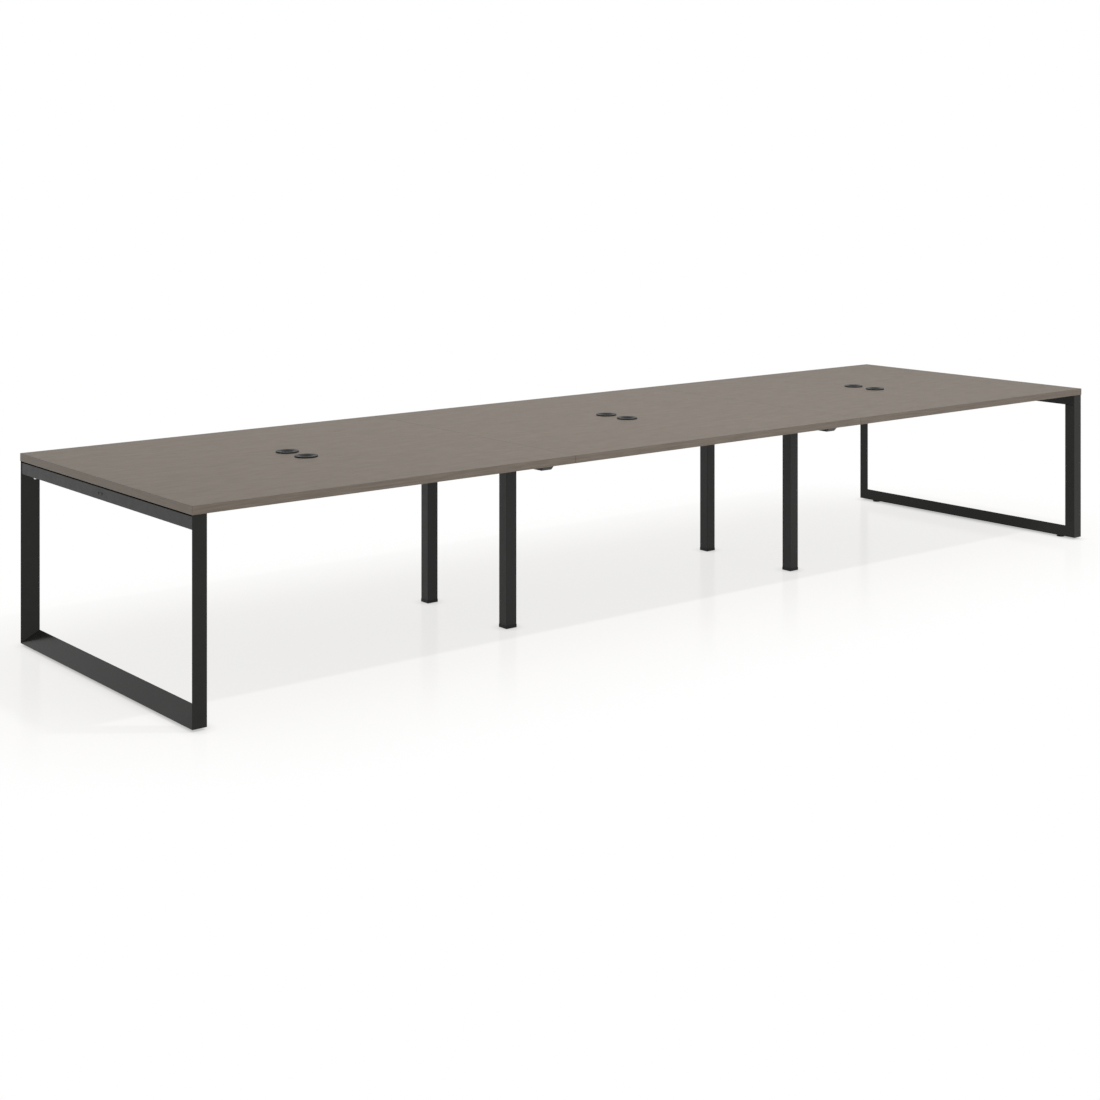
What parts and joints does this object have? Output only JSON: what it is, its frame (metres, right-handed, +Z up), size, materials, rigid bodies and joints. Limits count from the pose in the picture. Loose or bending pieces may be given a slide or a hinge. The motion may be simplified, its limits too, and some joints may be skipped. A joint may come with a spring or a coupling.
{
  "type": "bench desk",
  "caption": "Long bench desk for people facing each other: grey-brown laminate tops with cable grommets on black looped end frames and slim inner legs.",
  "frame": {"origin": "on the floor under the middle of the desk", "axes": "+X along the desk's length, +Y across its depth, +Z up"},
  "size_m": [4.8, 1.4, 0.7395],
  "materials": {
    "top_laminate": "grey-brown laminate with a fine linear grain, satin",
    "edge_band": "edge band to match the top, satin",
    "black_steel": "black powder coat, fine texture, satin",
    "black_plastic": "moulded black plastic, satin",
    "zinc_steel": "bright zinc plate"
  },
  "bodies": {
    "desk": {"top_left": "top_laminate", "edge_band_left": "edge_band", "grommet_ring_left_front": "black_plastic", "grommet_ring_left_rear": "black_plastic", "top_middle": "top_laminate", "edge_band_middle": "edge_band", "grommet_ring_middle_front": "black_plastic", "grommet_ring_middle_rear": "black_plastic", "top_right": "top_laminate", "edge_band_right": "edge_band", "grommet_ring_right_front": "black_plastic", "grommet_ring_right_rear": "black_plastic", "left_frame_front_post": "black_steel", "left_frame_rear_post": "black_steel", "left_frame_foot_rail": "black_steel", "left_frame_top_rail": "black_steel", "left_leg_front_post": "black_steel", "left_leg_rear_post": "black_steel", "left_leg_cross_beam": "black_steel", "right_frame_front_post": "black_steel", "right_frame_rear_post": "black_steel", "right_frame_foot_rail": "black_steel", "right_frame_top_rail": "black_steel", "right_leg_front_post": "black_steel", "right_leg_rear_post": "black_steel", "right_leg_cross_beam": "black_steel", "beam_left": "black_steel", "beam_middle": "black_steel", "beam_right": "black_steel", "arm_end_plates": "black_steel", "beam_end_plates": "black_steel", "beam_bolts": "black_steel", "leg_end_caps": "black_plastic", "top_spacers": "black_plastic", "top_screws": "zinc_steel", "rail_spigots": "zinc_steel", "rail_clamp_screws": "zinc_steel", "foot_nuts": "zinc_steel"},
    "lid_left_front": {"grommet_lid_left_front": "black_plastic"},
    "lid_left_rear": {"grommet_lid_left_rear": "black_plastic"},
    "lid_middle_front": {"grommet_lid_middle_front": "black_plastic"},
    "lid_middle_rear": {"grommet_lid_middle_rear": "black_plastic"},
    "lid_right_front": {"grommet_lid_right_front": "black_plastic"},
    "lid_right_rear": {"grommet_lid_right_rear": "black_plastic"},
    "foot_left_frame_front": {"foot_pad_left_frame_front": "black_plastic", "foot_stud_left_frame_front": "zinc_steel"},
    "foot_left_frame_rear": {"foot_pad_left_frame_rear": "black_plastic", "foot_stud_left_frame_rear": "zinc_steel"},
    "foot_left_leg_front": {"foot_pad_left_leg_front": "black_plastic", "foot_stud_left_leg_front": "zinc_steel"},
    "foot_left_leg_rear": {"foot_pad_left_leg_rear": "black_plastic", "foot_stud_left_leg_rear": "zinc_steel"},
    "foot_right_frame_front": {"foot_pad_right_frame_front": "black_plastic", "foot_stud_right_frame_front": "zinc_steel"},
    "foot_right_frame_rear": {"foot_pad_right_frame_rear": "black_plastic", "foot_stud_right_frame_rear": "zinc_steel"},
    "foot_right_leg_front": {"foot_pad_right_leg_front": "black_plastic", "foot_stud_right_leg_front": "zinc_steel"},
    "foot_right_leg_rear": {"foot_pad_right_leg_rear": "black_plastic", "foot_stud_right_leg_rear": "zinc_steel"}
  },
  "joints": [
    {"name": "lid_left_front_turn", "type": "hinge", "parent": "desk", "child": "lid_left_front", "pos_m": [-1.6, -0.07, 0.7345], "axis": [0, 0, 1], "continuous": true},
    {"name": "lid_left_rear_turn", "type": "hinge", "parent": "desk", "child": "lid_left_rear", "pos_m": [-1.6, 0.07, 0.7345], "axis": [0, 0, 1], "continuous": true},
    {"name": "lid_middle_front_turn", "type": "hinge", "parent": "desk", "child": "lid_middle_front", "pos_m": [0, -0.07, 0.7345], "axis": [0, 0, 1], "continuous": true},
    {"name": "lid_middle_rear_turn", "type": "hinge", "parent": "desk", "child": "lid_middle_rear", "pos_m": [0, 0.07, 0.7345], "axis": [0, 0, 1], "continuous": true},
    {"name": "lid_right_front_turn", "type": "hinge", "parent": "desk", "child": "lid_right_front", "pos_m": [1.6, -0.07, 0.7345], "axis": [0, 0, 1], "continuous": true},
    {"name": "lid_right_rear_turn", "type": "hinge", "parent": "desk", "child": "lid_right_rear", "pos_m": [1.6, 0.07, 0.7345], "axis": [0, 0, 1], "continuous": true},
    {"name": "foot_left_frame_front_level", "type": "slide", "parent": "desk", "child": "foot_left_frame_front", "axis": [0, 0, -1], "range_m": [0, 0.012]},
    {"name": "foot_left_frame_rear_level", "type": "slide", "parent": "desk", "child": "foot_left_frame_rear", "axis": [0, 0, -1], "range_m": [0, 0.012]},
    {"name": "foot_left_leg_front_level", "type": "slide", "parent": "desk", "child": "foot_left_leg_front", "axis": [0, 0, -1], "range_m": [0, 0.012]},
    {"name": "foot_left_leg_rear_level", "type": "slide", "parent": "desk", "child": "foot_left_leg_rear", "axis": [0, 0, -1], "range_m": [0, 0.012]},
    {"name": "foot_right_frame_front_level", "type": "slide", "parent": "desk", "child": "foot_right_frame_front", "axis": [0, 0, -1], "range_m": [0, 0.012]},
    {"name": "foot_right_frame_rear_level", "type": "slide", "parent": "desk", "child": "foot_right_frame_rear", "axis": [0, 0, -1], "range_m": [0, 0.012]},
    {"name": "foot_right_leg_front_level", "type": "slide", "parent": "desk", "child": "foot_right_leg_front", "axis": [0, 0, -1], "range_m": [0, 0.012]},
    {"name": "foot_right_leg_rear_level", "type": "slide", "parent": "desk", "child": "foot_right_leg_rear", "axis": [0, 0, -1], "range_m": [0, 0.012]}
  ]
}
